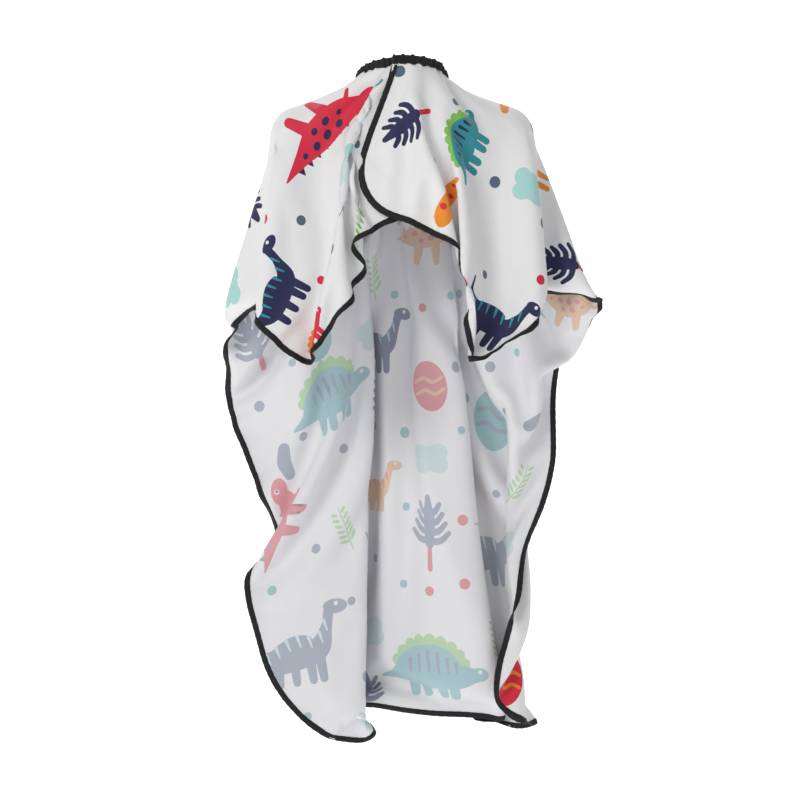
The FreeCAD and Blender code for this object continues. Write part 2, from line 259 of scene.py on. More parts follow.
def lay_out_guides(pts, side):
    """Guides as (point, place, pull), and the chains of edge points that the tape stiffens."""
    guides, chains, taken = [], [], set()
    for sgn, table in ((1, RIGHT_EDGE), (-1, LEFT_EDGE)):
        ss = np.arange(-WING, EDGE, OUTLINE_STEP)
        line = np.array([outline(t, sgn)[0] for t in ss])
        ts = np.array([row[0] for row in table]) * MM
        tp = np.array([hung(row[1:]) for row in table])
        chain = []
        for k in range(len(pts)):
            middle = side[k] == 0 and abs(pts[k][1] - FRONT) < 1e-6 and sgn > 0
            if side[k] != sgn and not middle:
                continue
            d = np.linalg.norm(line - pts[k], axis=1)
            i = int(d.argmin())
            t = ss[i]
            aim = along(t, ts, tp)
            if d[i] < 0.3 * H:
                guides.append((k, aim, WING_PULL if t < 0 else EDGE_PULL))
                taken.add(k)
                chain.append((t, k))
            elif d[i] < FLAT_REACH:
                for which, lo, hi, way in FLAT_EDGES:
                    if which == sgn and lo * MM <= t <= hi * MM:
                        ahead = along(t + AHEAD, ts, tp) - along(t - AHEAD, ts, tp)
                        into = np.array([-ahead[2], 0, ahead[0]]) * way if way else np.array([0, 0, 1.0])
                        guides.append((k, aim + into / np.linalg.norm(into) * d[i], FLAT_PULL))
                        taken.add(k)
        chain.sort()
        for lo, hi in STIFF[sgn]:
            chains.append([k for t, k in chain if lo <= t <= hi])
    for flat_line, hung_line in FOLDS:
        f = np.array(flat_line) * MM
        h = np.array([hung(p) for p in hung_line])
        cum = np.concatenate([[0], np.cumsum(np.linalg.norm(np.diff(f, axis=0), axis=1))])
        for t in np.arange(0, cum[-1] + 1e-9, H * 0.5):
            d = np.linalg.norm(pts - along(t, cum, f), axis=1)
            k = int(d.argmin())
            if d[k] < 0.6 * H and k not in taken:
                taken.add(k)
                guides.append((k, along(t, cum, h), FOLD_PULL))
    return guides, chains


# --- Cloth simulation ---
def P(*a):
    """A point given in millimetres."""
    return np.array(a, float) * MM


# A plain form that stands in for the wearer while the cloth settles; it is never shown. Neck and limbs are
# tapered rods: from, to and the radius at each end. The trunk is two ellipsoids: middle and half sizes.
LIMBS = [
    (P(30, 0, -38), P(138, -2, -72), 0.036, 0.034), (P(146, -2, -76), P(176, 0, -300), 0.036, 0.029),
    (P(176, 0, -300), P(178, 22, -520), 0.029, 0.024), (P(178, 22, -520), P(170, 28, -690), 0.026, 0.016),
]
FORM = [(P(0, 0, -90), P(0, 12, 80), 0.052, 0.046)]
FORM += [(a * (s, 1, 1), b * (s, 1, 1), ra, rb) for a, b, ra, rb in LIMBS for s in (1, -1)]
TRUNK = [(P(0, 2, -190), P(132, 84, 200)), (P(0, 6, -440), P(118, 84, 150))]
SKIN = 0.003            # the cloth keeps this far off the form
GRIP = 0.35             # share of its slip that the form takes off
STEPS = 600
DT = 0.0025
GRAVITY = 9.81
DAMPING = 0.992         # share of its speed that the cloth keeps per step
LATE_DAMPING = 0.98     # and the same once it has fallen
FALLEN = 0.6            # which is after this share of the steps
TOP_SPEED = 3           # m/s
LINK_K = (1.0, 0.25, 0.03)  # how firmly the cloth resists stretching, shearing and bending
TAPE_K = ((2, 0.3), (4, 0.3), (8, 0.15))  # and the tape: points apart, and how firmly
SLACK = 1.01            # how far a point may hang from the neck, over the cloth between them
LAYER = 0.009           # how far apart two layers keep
PUSH = 0.35             # share of what is missing that one step makes up
LOOK_EVERY = 8          # steps between searches for pairs that may touch
LOOK_REACH = LAYER * 1.6  # how near they are in space
LOOK_APART = 0.03       # and how far apart in the cut
BACK_V = -0.072         # the wings are the cloth behind this line of the cut
LAP_U = 0.13            # this near to the slit, the right one is kept outside the left one
BETWEEN = 0.064         # by a plane this far behind the neck's centre
BETWEEN_SLOPE = 0.11    # that moves back by this much per metre down,
BETWEEN_END = 0.25      # for this far down
KEEP_BACK = 0.003       # each keeps this far from the plane


def batches(pairs, n):
    """Pairs in groups in which no point comes twice."""
    used, out = [0] * n, []
    for k, (a, b) in enumerate(pairs):
        mask, c = used[a] | used[b], 0
        while mask >> c & 1:
            c += 1
        used[a] |= 1 << c
        used[b] |= 1 << c
        if c == len(out):
            out.append([])
        out[c].append(k)
    return [np.array(b) for b in out]


def links(pts, tris):
    """Pairs that resist stretching, shearing and bending."""
    across = {}
    for t in tris:
        for a, b, o in ((t[0], t[1], t[2]), (t[1], t[2], t[0]), (t[2], t[0], t[1])):
            across.setdefault((min(a, b), max(a, b)), []).append(o)
    stretch, shear, bend, near = [], [], [], {}
    for (a, b), opposite in across.items():
        diagonal = min(np.abs(pts[a] - pts[b])) > 0.3 * H
        (shear if diagonal else stretch).append((a, b))
        if len(opposite) == 2:
            (shear if diagonal else bend).append(tuple(opposite))
        if not diagonal:
            near.setdefault(a, []).append(b)
            near.setdefault(b, []).append(a)
    for a, ns in near.items():
        for i in range(len(ns)):
            for j in range(i + 1, len(ns)):
                d1, d2 = pts[ns[i]] - pts[a], pts[ns[j]] - pts[a]
                if np.dot(d1, d2) < -0.8 * np.linalg.norm(d1) * np.linalg.norm(d2):
                    bend.append((ns[i], ns[j]))
    return np.array(stretch), np.array(shear), np.array(bend)


ROUNDS = 2500
OVERSHOOT = 0.6         # speeds the rounds up, until the last fifth of them


def relaxed(pts, tris, fixed, values):
    """A smooth surface through the fixed points: every other point is its neighbours' mean."""
    n = len(pts)
    near = [set() for _ in range(n)]
    for t in tris:
        for a in t:
            near[a].update(int(b) for b in t if b != a)
    width = max(len(b) for b in near)
    idx, wt = np.zeros((n, width), int), np.zeros((n, width))
    for k, b in enumerate(near):
        b = sorted(b)
        idx[k, :len(b)] = b
        wt[k, :len(b)] = 1.0 / len(b)
    x = np.array([values[np.argmin(((pts[fixed] - p) ** 2).sum(1))] for p in pts])
    last = x.copy()
    for r in range(ROUNDS):
        mean = (x[idx] * wt[:, :, None]).sum(1)
        new = mean + OVERSHOOT * (x - last) if r < ROUNDS * 0.8 else mean
        last, x = x, new
        x[fixed] = values
    return x


def close_pairs(x, flat, reach, apart):
    """Pairs near each other in space but not in the cut."""
    cell = np.floor(x / reach).astype(np.int64)
    cell -= cell.min(0)
    dims = cell.max(0) + 3
    key = (cell[:, 0] * dims[1] + cell[:, 1]) * dims[2] + cell[:, 2]
    order = np.argsort(key, kind="stable")
    sorted_key = key[order]
    out = []
    for dx in (0, 1):
        for dy in (-1, 0, 1):
            for dz in (-1, 0, 1):
                off = (dx * dims[1] + dy) * dims[2] + dz
                if off < 0:
                    continue
                lo = np.searchsorted(sorted_key, key + off, "left")
                count = np.searchsorted(sorted_key, key + off, "right") - lo
                i = np.repeat(np.arange(len(x)), count)
                within_run = np.arange(len(i)) - np.repeat(np.cumsum(count) - count, count)
                j = order[np.repeat(lo, count) + within_run]
                if off == 0:
                    i, j = i[i < j], j[i < j]
                keep = ((np.linalg.norm(x[i] - x[j], axis=1) < reach)
                        & (np.linalg.norm(flat[i] - flat[j], axis=1) > apart))
                out.append(np.stack([i[keep], j[keep]], 1))
    return np.concatenate(out)


def slide(x, old, hit, normal, depth):
    """Moves points out of the form and takes off part of their slip along it."""
    x[hit] += normal * depth[:, None]
    move = x[hit] - old[hit]
    x[hit] -= (move - normal * np.sum(move * normal, axis=1)[:, None]) * GRIP


def keep_off_form(x, old):
    """Moves points that have sunk into the form back out of it."""
    for a, b, ra, rb in FORM:
        ab = b - a
        t = np.clip((x - a) @ ab / (ab @ ab), 0, 1)
        d = x - (a + t[:, None] * ab)
        dist = np.linalg.norm(d, axis=1)
        r = ra + (rb - ra) * t + SKIN
        hit = dist < r
        if hit.any():
            slide(x, old, hit, d[hit] / np.maximum(dist[hit], 1e-9)[:, None], (r - dist)[hit])
    for c, radii in TRUNK:
        q = (x - c) / (radii + SKIN)
        k = np.linalg.norm(q, axis=1)
        hit = k < 1
        if hit.any():
            g = q[hit] / (radii + SKIN)
            size = np.maximum(np.linalg.norm(g, axis=1), 1e-9)
            slide(x, old, hit, g / size[:, None], k[hit] * (1 - k[hit]) / size)


def neck_places(pts, side, neck):
    """Where each point of the neck hole is sewn into the neckband."""
    turn = np.degrees(np.arctan2(pts[:, 0], -pts[:, 1]))
    place = np.zeros((len(pts), 3))
    for k in np.nonzero(neck)[0]:
        s = side[k] if pts[k][1] < 0 or abs(pts[k][0]) > 1e-6 else 0
        deg = 180.0 if s == 0 else -s * LAP_DEG + turn[k] * (180 + LAP_DEG) / 180
        place[k] = ring_point(deg, NECK_R + LAP_OUT * let_out(deg, s), -SEWN_IN)
    return place


def all_springs(pts, tris, chains):
    """Springs of the cloth and its tape, in batches: ends, ends, lengths and how firm they are."""
    springs = []
    groups = list(zip(links(pts, tris), LINK_K))
    for gap, k in TAPE_K:
        groups.append((np.array([(c[i], c[i + gap]) for c in chains for i in range(len(c) - gap)]), k))
    for pairs, k in groups:
        rest = np.linalg.norm(pts[pairs[:, 0]] - pts[pairs[:, 1]], axis=1)
        springs += [(pairs[b, 0], pairs[b, 1], rest[b], k) for b in batches(pairs, len(pts))]
    return springs


def leashes(pts, side, neck):
    """For each point the nearest neck point through the cloth, and how far from it the cloth lets it hang."""
    ring = np.nonzero(neck)[0]
    same = ((side[ring][None] == side[:, None]) | (side[ring][None] == 0) | (side[:, None] == 0)
            | ((pts[:, 1] > 0)[:, None] & (pts[ring, 1] > 0)[None]))
    span = np.linalg.norm(pts[:, None] - pts[ring][None], axis=2) + 10.0 * ~same    # 10: out of the question
    return ring[span.argmin(1)], span.min(1) * SLACK


def pull_springs(x, springs, free):
    for a, b, rest, k in springs:
        d = x[a] - x[b]
        length = np.sqrt((d * d).sum(1)) + 1e-12
        wa, wb = free[a], free[b]
        both = np.maximum(wa + wb, 1e-9)
        c = (k * (length - rest) / (length * both))[:, None] * d
        x[a] -= c * wa[:, None]
        x[b] += c * wb[:, None]


def part_layers(x, pairs, free):
    """Pushes apart the pairs of points that are nearer than two layers may be."""
    d = x[pairs[:, 0]] - x[pairs[:, 1]]
    length = np.sqrt((d * d).sum(1)) + 1e-12
    hit = length < LAYER
    i, j = pairs[hit, 0], pairs[hit, 1]
    push = (PUSH * (LAYER - length[hit]) / length[hit])[:, None] * d[hit]
    np.add.at(x, i, push * free[i][:, None])
    np.add.at(x, j, -push * free[j][:, None])


def drape(pts, side, tris):
    """Lets the cut hang from the neckband over the form, and returns where its points come to rest."""
    r = np.hypot(pts[:, 0], pts[:, 1])
    neck = np.abs(r - HOLE_R) < 1e-6
    guides, chains = lay_out_guides(pts, side)
    place = neck_places(pts, side, neck)
    start = {int(k): place[k] for k in np.nonzero(neck)[0]}
    for k, t, _ in guides:
        start.setdefault(int(k), np.array(t))
    fixed = np.array(sorted(start))
    x = relaxed(pts, tris, fixed, np.array([start[k] for k in fixed]))
    free = np.where(neck, 0.0, 1.0)
    springs = all_springs(pts, tris, chains)
    anchor, reach = leashes(pts, side, neck)
    # the right wing stays outside the left one
    back = (pts[:, 1] < BACK_V) & ~neck
    over = back & (side > 0) & (pts[:, 0] < LAP_U)
    under = back & (side < 0) & (pts[:, 0] > -LAP_U)
    gi = np.array([g[0] for g in guides])
    gt = np.array([g[1] for g in guides])
    gk = np.array([g[2] for g in guides])[:, None]
    v = np.zeros_like(x)
    for step in range(STEPS):
        v[:, 2] -= GRAVITY * DT
        v *= DAMPING if step < STEPS * FALLEN else LATE_DAMPING
        old = x.copy()
        x = x + v * DT
        x[neck] = place[neck]
        x[gi] += (gt - x[gi]) * gk
        pull_springs(x, springs, free)
        d = x - x[anchor]
        length = np.sqrt((d * d).sum(1)) + 1e-12
        far = length > reach
        x[far] = x[anchor[far]] + d[far] * (reach[far] / length[far])[:, None]
        if step % LOOK_EVERY == 0:
            pairs = close_pairs(x, pts, LOOK_REACH, LOOK_APART)
        part_layers(x, pairs, free)
        keep_off_form(x, old)
        between = -BETWEEN - BETWEEN_SLOPE * np.clip(-x[:, 2], 0, BETWEEN_END)
        x[over, 1] = np.minimum(x[over, 1], between[over] - KEEP_BACK)
        x[under, 1] = np.maximum(x[under, 1], between[under] + KEEP_BACK)
        x[neck] = place[neck]
        v = (x - old) / DT
        speed = np.linalg.norm(v, axis=1)
        fast = speed > TOP_SPEED
        v[fast] *= (TOP_SPEED / speed[fast])[:, None]
    return x


# --- From the simulated cloth to a fine surface ---
def unit(d):
    """Each row of d at length 1."""
    return d / np.maximum(np.linalg.norm(d, axis=1), 1e-12)[:, None]


def refined(points, faces, levels=2):
    """Subdivides a mesh and returns its points, and its faces' corners as arrays."""
    me = bpy.data.meshes.new("temp")
    me.from_pydata([tuple(p) for p in points], [], faces)
    ob = bpy.data.objects.new("temp", me)
    bpy.context.collection.objects.link(ob)
    mod = ob.modifiers.new("s", "SUBSURF")
    mod.levels = mod.render_levels = levels
    mod.use_limit_surface = False
    fine = ob.evaluated_get(bpy.context.evaluated_depsgraph_get()).to_mesh()
    co = np.empty(len(fine.vertices) * 3)
    fine.vertices.foreach_get("co", co)
    corner = np.empty(len(fine.loops), int)
    fine.loops.foreach_get("vertex_index", corner)
    bpy.data.objects.remove(ob)
    bpy.data.meshes.remove(me)
    return co.reshape(-1, 3), corner.reshape(-1, 4)


PAST = 2.5              # a point outside the mesh is read off this far past its nearest triangle


class Cloth:
    """Answers where a point of the cut is in space, and which way the cloth faces there."""

    def __init__(self, pts, side, faces, x):
        flat, quads = refined(np.c_[pts, np.zeros(len(pts))], faces)
        space, _ = refined(x, faces)
        tri = np.concatenate([quads[:, [0, 1, 2]], quads[:, [0, 2, 3]]])
        normal = np.zeros_like(space)
        fn = np.cross(space[tri[:, 1]] - space[tri[:, 0]], space[tri[:, 2]] - space[tri[:, 0]])
        for c in range(3):
            np.add.at(normal, tri[:, c], fn)
        # the two edges of the slit share no points, so each keeps its own normal
        self.flat, self.space, self.normal = flat[:, :2], space, unit(normal)
        self.tree = {}
        for s in (-1, 1):
            mine = tri[(flat[tri, 0].mean(1) * s) > 0]
            self.tree[s] = (BVHTree.FromPolygons(flat.tolist(), mine.tolist()), mine)

    def at(self, uv, s):
        """Places and normals for points of one side."""
        tree, tri = self.tree[s]
        pick = np.array([tree.find_nearest((p[0], p[1], 0.0))[2] for p in uv])
        t = tri[pick]
        a, b, c = self.flat[t[:, 0]], self.flat[t[:, 1]], self.flat[t[:, 2]]
        e1, e2, q = b - a, c - a, np.asarray(uv) - a
        det = e1[:, 0] * e2[:, 1] - e1[:, 1] * e2[:, 0]
        det = np.where(np.abs(det) < 1e-14, 1e-14, det)
        w1 = np.clip((q[:, 0] * e2[:, 1] - q[:, 1] * e2[:, 0]) / det, -PAST, 1 + PAST)
        w2 = np.clip((e1[:, 0] * q[:, 1] - e1[:, 1] * q[:, 0]) / det, -PAST, 1 + PAST)
        w = np.stack([1 - w1 - w2, w1, w2], 1)[:, :, None]
        return (self.space[t] * w).sum(1), unit((self.normal[t] * np.clip(w, 0, 1)).sum(1))


# --- The print: plain shapes in the cut's own plane ---
INKS = {
    # ink: colour on the outside, colour that shows through on the inside; the inside white is darker and
    # cooler than the outside white, which is painted shade of the cape's inner side
    "white": ((0.86, 0.86, 0.87), (0.80, 0.80, 0.83)),
    "coral": ((0.72, 0.022, 0.06), (0.74, 0.36, 0.40)),
    "navy": ((0.018, 0.020, 0.085), (0.27, 0.29, 0.38)),
    "teal": ((0.03, 0.30, 0.36), (0.40, 0.58, 0.62)),
    "mint": ((0.42, 0.72, 0.70), (0.62, 0.74, 0.75)),
    "lime": ((0.24, 0.56, 0.10), (0.50, 0.68, 0.46)),
    "orange": ((0.86, 0.28, 0.02), (0.76, 0.56, 0.42)),
    "slate": ((0.10, 0.14, 0.20), (0.42, 0.46, 0.54)),
}
INK_NAMES = list(INKS)


def oval(cx, cy, rx, ry, turn=0, n=22):
    """An ellipse of n points, turned by some degrees."""
    a = np.linspace(0, 2 * math.pi, n, endpoint=False)
    t = math.radians(turn)
    x, y = rx * np.cos(a), ry * np.sin(a)
    return np.stack([cx + x * math.cos(t) - y * math.sin(t), cy + x * math.sin(t) + y * math.cos(t)], 1)


def smooth(points, per=6):
    """A Catmull-Rom curve through the points."""
    p = np.array(points, float)
    p = np.vstack([2 * p[0] - p[1], p, 2 * p[-1] - p[-2]])
    out = []
    for k in range(1, len(p) - 2):
        for t in np.arange(per) / per:
            out.append(0.5 * (2 * p[k] + (p[k + 1] - p[k - 1]) * t
                              + (2 * p[k - 1] - 5 * p[k] + 4 * p[k + 1] - p[k + 2]) * t * t
                              + (3 * p[k] - p[k - 1] - 3 * p[k + 1] + p[k + 2]) * t ** 3))
    out.append(p[-2])
    return np.array(out)


def limb(points, widths, caps=4):
    """A line with a thickness that changes along it, and round ends."""
    line = smooth([(x, y, w) for (x, y), w in zip(points, widths)]) if len(points) > 2 else np.array(
        [(x, y, w) for (x, y), w in zip(points, widths)], float)
    c, w = line[:, :2], line[:, 2] / 2
    d = unit(np.gradient(c, axis=0))
    n = np.stack([-d[:, 1], d[:, 0]], 1)
    left, right = c + n * w[:, None], c - n * w[:, None]

    def cap(p, direction, normal, radius, sign):
        a = np.linspace(0, math.pi, caps + 2)[1:-1]
        return [p + radius * (normal * math.cos(k) * sign + direction * math.sin(k)) for k in a]

    return np.vstack([left, cap(c[-1], d[-1], n[-1], w[-1], 1), right[::-1],
                      cap(c[0], -d[0], n[0], w[0], -1)])


def spikes(points, size, count, lean=0.0):
    """Triangles that stand along the left of a line."""
    line = smooth(points, 10)
    out = []
    for k in range(count):
        i = int((k + 0.5) / count * (len(line) - 2))
        p, d = line[i], line[i + 1] - line[i]
        d = d / np.linalg.norm(d)
        n = np.array([-d[1], d[0]])
        out.append(np.array([p - d * size * 0.6, p + d * size * 0.6, p + n * size * 1.1 + d * lean * size]))
    return out


def runner(main, mark):
    """A two-legged dinosaur with a spotted back."""
    back = [(-0.8, 0.02), (-0.35, 0.17), (0.05, 0.33), (0.4, 0.5)]
    shapes = [(mark, s) for s in spikes(back, 0.13, 7)]
    shapes += [(main, limb([(-1, -0.05), (-0.6, 0.02), (-0.1, 0.12), (0.3, 0.28), (0.55, 0.45)],
                           [0.03, 0.22, 0.52, 0.50, 0.30])),
               (main, oval(0.66, 0.55, 0.26, 0.16, 8)),
               (main, limb([(-0.15, 0), (-0.2, -0.45)], [0.24, 0.15])),
               (main, limb([(0.2, 0.05), (0.25, -0.42)], [0.22, 0.14])),
               (main, limb([(0.45, 0.25), (0.66, 0.14)], [0.1, 0.07]))]
    shapes += [(mark, oval(x, y, r, r * 0.85, n=12)) for x, y, r in
               ((-0.5, 0.06, 0.05), (-0.28, 0.16, 0.07), (-0.05, 0.24, 0.08), (0.18, 0.34, 0.07),
                (-0.12, 0.02, 0.06), (0.1, 0.1, 0.07), (0.32, 0.22, 0.05))]
    shapes += [("white", oval(0.66, 0.6, 0.05, 0.05, n=12)), ("navy", oval(0.67, 0.6, 0.025, 0.03, n=8))]
    return shapes


def long_neck(main, mark):
    """A long-necked dinosaur with stripes on its back."""
    shapes = [(main, limb([(-1, 0.42), (-0.86, 0.12), (-0.5, -0.08), (0, 0.02), (0.42, 0.05), (0.62, 0.42),
                           (0.70, 0.72)], [0.05, 0.14, 0.48, 0.66, 0.46, 0.22, 0.2])),
              (main, oval(0.84, 0.78, 0.24, 0.14, -6))]
    shapes += [(main, limb([(x, -0.15), (x * 1.05, -0.55)], [0.2, 0.16])) for x in (-0.42, -0.1, 0.22, 0.42)]
    shapes += [(mark, limb([(x, y), (x + 0.05, y - 0.2)], [0.07, 0.03])) for x, y in
               ((-0.62, 0.08), (-0.42, 0.18), (-0.2, 0.28), (0.02, 0.32), (0.24, 0.28), (0.46, 0.34),
                (0.58, 0.55))]
    shapes += [("white", oval(0.86, 0.83, 0.045, 0.045, n=10))]
    return shapes


def plated(main, plates, mark):
    """A low dinosaur with a scalloped back."""
    shapes = [(plates, oval(0.62 * math.cos(a) - 0.02, 0.08 + 0.5 * math.sin(a), 0.15, 0.12,
                            math.degrees(a), n=14)) for a in np.linspace(0.25, 2.9, 9)]
    body = [(-0.98, -0.18), (-0.7, -0.1), (-0.35, 0.06), (0.1, 0.1), (0.5, -0.02), (0.78, 0.0)]
    shapes += [(main, limb(body, [0.06, 0.26, 0.74, 0.84, 0.5, 0.28])), (main, oval(0.88, 0.02, 0.17, 0.13))]
    shapes += [(main, limb([(x, -0.2), (x, -0.52)], [0.2, 0.17])) for x in (-0.36, -0.12, 0.2, 0.42)]
    shapes += [(mark, limb([(x, 0.42 - abs(x) * 0.45), (x + 0.03, 0.02)], [0.08, 0.04])) for x in
               (-0.42, -0.24, -0.06, 0.12, 0.3, 0.46)]
    shapes += [("white", oval(0.9, 0.07, 0.04, 0.04, n=10))]
    return shapes


def fir(trunk, leaf):
    """A feathery tree."""
    shapes = [(trunk, limb([(0, -1.05), (0, 0)], [0.17, 0.15])),
              (leaf, limb([(0, -0.32), (0.02, 0.3), (0, 0.92)], [0.34, 0.4, 0.18]))]
    for k in range(4):
        y, reach = -0.22 + 0.26 * k, 0.62 - 0.09 * k
        for s in (-1, 1):
            shapes.append((leaf, limb([(0, y - 0.06), (s * reach * 0.6, y - 0.02), (s * reach, y + 0.2)],
                                      [0.2, 0.18, 0.13])))
    return shapes


def horn(main, mark):
    """A tall tapered shape with spots."""
    shapes = [(main, limb([(-0.1, -1), (0, -0.3), (0.12, 0.4), (0.3, 1)], [0.62, 0.6, 0.4, 0.12]))]
    return shapes + [(mark, oval(x, y, r, r * 0.8, 20, n=12)) for x, y, r in
                     ((-0.2, -0.75, 0.12), (0.08, -0.5, 0.1), (-0.1, -0.2, 0.13), (0.14, 0.1, 0.09),
                      (0.05, 0.4, 0.07))]


def bars(ink):
    return [(ink, limb([(-0.5, y), (0.5, y)], [0.4, 0.46])) for y in (-0.38, 0.38)]


def fern(leaf):
    shapes = [(leaf, limb([(-0.15, -1), (0, -0.2), (0.1, 0.9)], [0.06, 0.06, 0.04]))]
    for k in range(6):
        y = -0.65 + 0.26 * k
        for s in (-1, 1):
            x, length = 0.02 * k - 0.06 + s * 0.22, 0.24 - 0.02 * k
            shapes.append((leaf, oval(x, y + 0.14, length, 0.07, s * 38, n=14)))
    return shapes


def cloud(ink):
    return [(ink, oval(x, y, rx, ry, n=20)) for x, y, rx, ry in
            ((0, 0, 0.62, 0.5), (-0.4, 0.2, 0.4, 0.34), (0.4, 0.26, 0.42, 0.36), (0.45, -0.2, 0.4, 0.34),
             (-0.3, -0.3, 0.4, 0.3))]


def dot(ink):
    return [(ink, oval(0, 0, 1, 1, n=18))]


def pebble(ink):
    return [(ink, limb([(-0.6, -0.1), (0, 0.08), (0.6, 0)], [0.5, 0.62, 0.5]))]


def egg(ink, mark):
    shapes = [(ink, oval(0, 0, 0.7, 0.95, n=28))]
    return shapes + [(mark, limb([(-0.55, y), (-0.2, y + 0.12), (0.15, y - 0.06), (0.55, y + 0.08)],
                                 [0.12, 0.14, 0.14, 0.12])) for y in (-0.25, 0.2)]


def mirrored(shapes):
    return [(ink, poly * (1, -1)) for ink, poly in shapes]


# --- The print: one motif to a cell, in a half-drop repeat over the whole cut ---
COLUMNS = 8
ROWS = 12
COLUMN = 2 * HALF_W / COLUMNS / MM
ROW = (BACK + FRONT) / ROWS / MM
DROP = ROW / 4          # even columns sit this much nearer the back edge, odd ones nearer the hem
DOT_SHARE = 0.85        # share of the cell corners and white cells that carry a dot
DOT_SHIFT = 18          # and how far a dot may stray from there, mm
DOT_SIZES = (6, 7, 8)
DOT_INKS = ("slate", "teal", "teal", "slate", "coral")
CLEAR = 2               # cloth left white between a dot and a motif, mm
REACH = 0.8             # of a motif's half size that its ink fills, all round

# each motif's shapes, and half its size in millimetres
MOTIFS = {
    "red_runner": (mirrored(runner("coral", "navy")), 90),
    "pink_runner": (runner("coral", "slate"), 80),
    "orange_runner": (runner("orange", "coral"), 64),
    "navy_neck": (long_neck("navy", "teal"), 60),
    "slate_neck": (long_neck("slate", "mint"), 74),
    "orange_neck": (long_neck("orange", "coral"), 48),
    "teal_plated": (plated("teal", "lime", "navy"), 60),
    "pale_plated": (plated("teal", "lime", "slate"), 80),
    "red_plated": (plated("coral", "orange", "navy"), 42),
    "fir": (fir("coral", "navy"), 46),
    "slate_fir": (fir("coral", "slate"), 52),
    "horn": (horn("orange", "coral"), 50),
    "bars": (bars("orange"), 20),
    "fern": (fern("lime"), 36),
    "cloud": (cloud("mint"), 36),
    "pebble": (pebble("orange"), 22),
    "stone": (pebble("slate"), 34),
    "navy_egg": (egg("navy", "white"), 34),
    "teal_egg": (egg("teal", "slate"), 48),
    "red_egg": (egg("coral", "orange"), 38),
}
# which motif is in each cell, and its turn in degrees if it has one: rows from the back edge to the hem,
# columns from left to right as seen from behind, - for a cell left white
LAYOUT = """
red_plated:10  -           fern:140      -           -             horn:-10        fir:125       navy_neck:20
navy_neck:10   -           cloud:20      -           fir:140       teal_plated:118 -             -
-              -           red_runner:15 -           -             pebble:70       cloud:30      -
navy_egg:60    fir:60      -             -           -             fern:60         bars:90       fir
cloud          -           navy_neck:8   -           cloud:20      fir             -             orange_runner
slate_fir:10   teal_egg:10 -             fern:20     orange_runner -               teal_plated:5 -
-              pale_plated cloud:10      navy_neck   -             fern:-20        -             stone:20
stone:80       -           fir           -           red_egg:10    -               teal_egg:5    fern:-15
pink_runner:70 fern:20     -             orange_neck cloud         orange_neck:70  -             cloud:15
-              -           slate_neck    -           slate_fir     -               slate_neck:10 -
slate_neck:-6  -           fern:-20      cloud:10    -             fern:15         -             red_egg:30
-              cloud       -             fir         pale_plated   -               orange_runner -
"""


def cells():
    """The name and turn in each cell, or None and 0, and the cell's middle in millimetres."""
    for row, line in enumerate(LAYOUT.split("\n")[1:-1]):
        for column, word in enumerate(line.split()):
            u = (column + 0.5) * COLUMN - HALF_W / MM
            v = (row + 0.5) * ROW - BACK / MM + (DROP if column % 2 else -DROP)
            name, _, turn = word.partition(":")
            yield None if name == "-" else name, float(turn or 0), u, v


def dots(taken):
    """A seeded scatter of small dots, kept clear of the (u, v, reach) places in taken."""
    spots = [(u, v) for name, _, u, v in cells() if name is None]
    spots += [(column * COLUMN - HALF_W / MM, row * ROW - BACK / MM)
              for row in range(1, ROWS) for column in range(1, COLUMNS)]
    for u, v in spots:
        share, du, dv = rng.random(), *rng.uniform(-DOT_SHIFT, DOT_SHIFT, 2)
        r, ink = rng.choice(DOT_SIZES), DOT_INKS[rng.integers(len(DOT_INKS))]
        u, v = u + du, v + dv
        if share < DOT_SHARE and all(math.hypot(u - a, v - b) > reach + r + CLEAR for a, b, reach in taken):
            taken.append((u, v, 4 * r))
            yield ink, dot(ink)[0][1] * r + (u, v)


def printed_shapes():
    """Every shape of the print as (ink number, polygon in metres), from the lowest to the topmost."""
    out, taken = [], [(0, 0, HOLE_R / MM)]
    for name, turn, u, v in cells():
        if name:
            shapes, half = MOTIFS[name]
            c, s = math.cos(math.radians(turn)), math.sin(math.radians(turn))
            up = 1 if v < 0 else -1      # up is towards the neck, on the back as on the front
            for ink, poly in shapes:
                x, y = poly[:, 0] * half, poly[:, 1] * half
                placed = np.stack([u + x * c - y * s, v + up * (x * s + y * c)], 1) * MM
                out.append((INK_NAMES.index(ink), placed))
            taken.append((u, v, half * REACH))
    return out + [(INK_NAMES.index(ink), poly * MM) for ink, poly in dots(taken)]


def within(poly, q):
    """Which of the points q lie in a polygon."""
    x, y = q[:, 0], q[:, 1]
    hit = np.zeros(len(q), bool)
    for (x0, y0), (x1, y1) in zip(poly, np.roll(poly, -1, axis=0)):
        if y0 != y1:
            hit ^= ((y0 > y) != (y1 > y)) & (x < (x1 - x0) * (y - y0) / (y1 - y0) + x0)
    return hit


def half_outline(s):
    """The outline of one half of the cut, closed along its middle."""
    edge = [outline(t, s)[0] for t in np.arange(-WING, EDGE, 0.005)]
    edge.append(np.array([0, FRONT]))
    edge += [np.array([0, v]) for v in np.arange(FRONT - 0.006, HOLE_R + 0.003, -0.006)]
    edge += [np.array([s * HOLE_R * math.sin(a), HOLE_R * math.cos(a)])
             for a in np.linspace(0, math.pi, 64)[:-1]]
    return np.array(edge)


def tube(count, around):
    """Faces of a tube of count rings with closed ends."""
    faces = [(i * around + j, i * around + (j + 1) % around, (i + 1) * around + (j + 1) % around,
              (i + 1) * around + j) for i in range(count - 1) for j in range(around)]
    return faces + [tuple(range(around))[::-1], tuple((count - 1) * around + j for j in range(around))]


# --- Materials ---
def node(nt, kind, **values):
    """A new node whose sockets or settings have these values."""
    n = nt.nodes.new(kind)
    for key, value in values.items():
        if key in n.inputs:
            n.inputs[key].default_value = value
        else:
            setattr(n, key, value)
    return n


